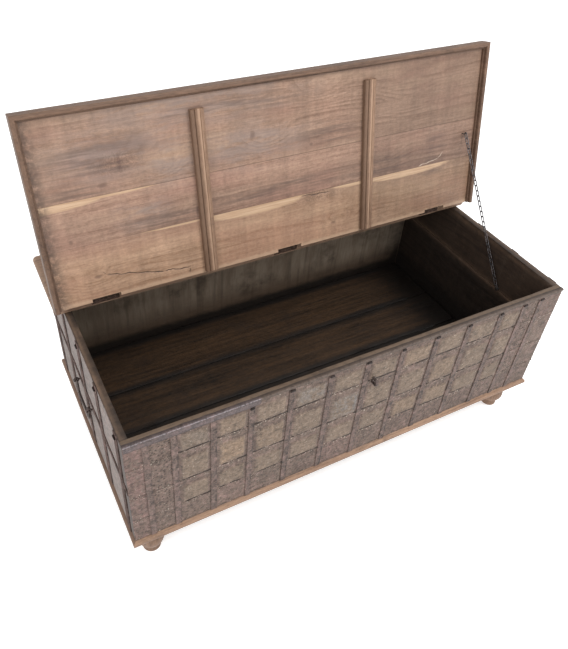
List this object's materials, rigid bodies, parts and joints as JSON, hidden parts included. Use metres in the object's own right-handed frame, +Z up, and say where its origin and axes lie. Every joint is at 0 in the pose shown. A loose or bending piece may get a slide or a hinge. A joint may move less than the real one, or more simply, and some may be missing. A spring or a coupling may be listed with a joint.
{
  "type": "damchiya chest",
  "caption": "Long low wooden storage chest clad at the front and ends in sheet metal plates and iron straps, with a fixed rear ledge, hinged lid on a stay chain, end handles and turned feet.",
  "frame": {"origin": "on the floor, below the middle of the chest's footprint", "axes": "+X along the chest to the viewer's right, +Y from the front to the back, +Z up"},
  "size_m": [1.372, 0.7517, 1.0416],
  "materials": {
    "case_wood": "old oiled hardwood boards, dark and dusty inside",
    "floor_wood": "dark unfinished floor boards",
    "base_wood": "waxed reddish hardwood moulding and turned feet",
    "top_wood": "waxed figured hardwood with pale sapwood, satin",
    "plate_metal": "old beaten sheet metal with worn paint and patina",
    "strap_iron": "hammered dull iron straps with nail heads",
    "forged_iron": "dark forged iron, rubbed bright on the edges",
    "chain_steel": "darkened steel wire links",
    "hinge_steel": "tarnished steel butt hinges"
  },
  "bodies": {
    "chest": {"wall_front_lower_board": "case_wood", "wall_front_upper_board": "case_wood", "wall_back_lower_board": "case_wood", "wall_back_upper_board": "case_wood", "wall_left_lower_board": "case_wood", "wall_left_upper_board": "case_wood", "wall_right_lower_board": "case_wood", "wall_right_upper_board": "case_wood", "floor_board_front": "floor_wood", "floor_board_second": "floor_wood", "floor_board_third": "floor_wood", "floor_board_back": "floor_wood", "floor_bearer_left": "floor_wood", "floor_bearer_right": "floor_wood", "base_rail_front": "base_wood", "base_rail_back": "base_wood", "base_rail_left": "base_wood", "base_rail_right": "base_wood", "foot_front_left": "base_wood", "foot_front_right": "base_wood", "foot_back_left": "base_wood", "foot_back_right": "base_wood", "rear_ledge": "top_wood", "hinge_left_ledge_leaf": "hinge_steel", "hinge_left_pin": "hinge_steel", "hinge_middle_ledge_leaf": "hinge_steel", "hinge_middle_pin": "hinge_steel", "hinge_right_ledge_leaf": "hinge_steel", "hinge_right_pin": "hinge_steel", "front_plates_top_row": "plate_metal", "front_plates_second_row": "plate_metal", "front_plates_third_row": "plate_metal", "front_plates_bottom_row": "plate_metal", "left_end_plates": "plate_metal", "right_end_plates": "plate_metal", "front_straps": "strap_iron", "front_edge_strip": "strap_iron", "left_end_straps": "strap_iron", "right_end_straps": "strap_iron", "lock_staple": "forged_iron", "left_handle_eyes": "forged_iron", "right_handle_eyes": "forged_iron", "chain_wall_screw": "forged_iron"},
    "lid": {"lid_plank_rear": "top_wood", "lid_plank_middle": "top_wood", "lid_plank_front": "top_wood", "lid_lip_front": "top_wood", "lid_lip_left": "top_wood", "lid_lip_right": "top_wood", "lid_batten_left": "top_wood", "lid_batten_right": "top_wood", "hinge_left_lid_leaf": "hinge_steel", "hinge_middle_lid_leaf": "hinge_steel", "hinge_right_lid_leaf": "hinge_steel", "chain_lid_staple": "forged_iron"},
    "chain_lower": {"chain_lower_length": "chain_steel"},
    "chain_upper": {"chain_upper_length": "chain_steel"},
    "left_handle": {"left_handle_bail": "forged_iron"},
    "right_handle": {"right_handle_bail": "forged_iron"}
  },
  "joints": [
    {"name": "lid_hinge", "type": "hinge", "parent": "chest", "child": "lid", "pos_m": [0, 0.123, 0.5465], "axis": [1, 0, 0], "range_deg": [0, 102.3]},
    {"name": "chain_lower_pivot", "type": "hinge", "parent": "chest", "child": "chain_lower", "pos_m": [0.6305, -0.161, 0.386], "axis": [1, 0, 0], "range_deg": [-142.9, 0]},
    {"name": "chain_upper_pivot", "type": "hinge", "parent": "lid", "child": "chain_upper", "pos_m": [0.6305, 0.14197, 0.78464], "axis": [1, 0, 0], "range_deg": [-41.2, 0]},
    {"name": "left_handle_pivot", "type": "hinge", "parent": "chest", "child": "left_handle", "pos_m": [-0.6726, 0, 0.33565], "axis": [0, 1, 0], "range_deg": [0, 85]},
    {"name": "right_handle_pivot", "type": "hinge", "parent": "chest", "child": "right_handle", "pos_m": [0.6726, 0, 0.33565], "axis": [0, -1, 0], "range_deg": [0, 85]}
  ],
  "couplings": [
    {"joint": "chain_lower_pivot", "follows": "lid_hinge", "ratio": -1.3956},
    {"joint": "chain_upper_pivot", "follows": "lid_hinge", "ratio": -0.40142}
  ]
}
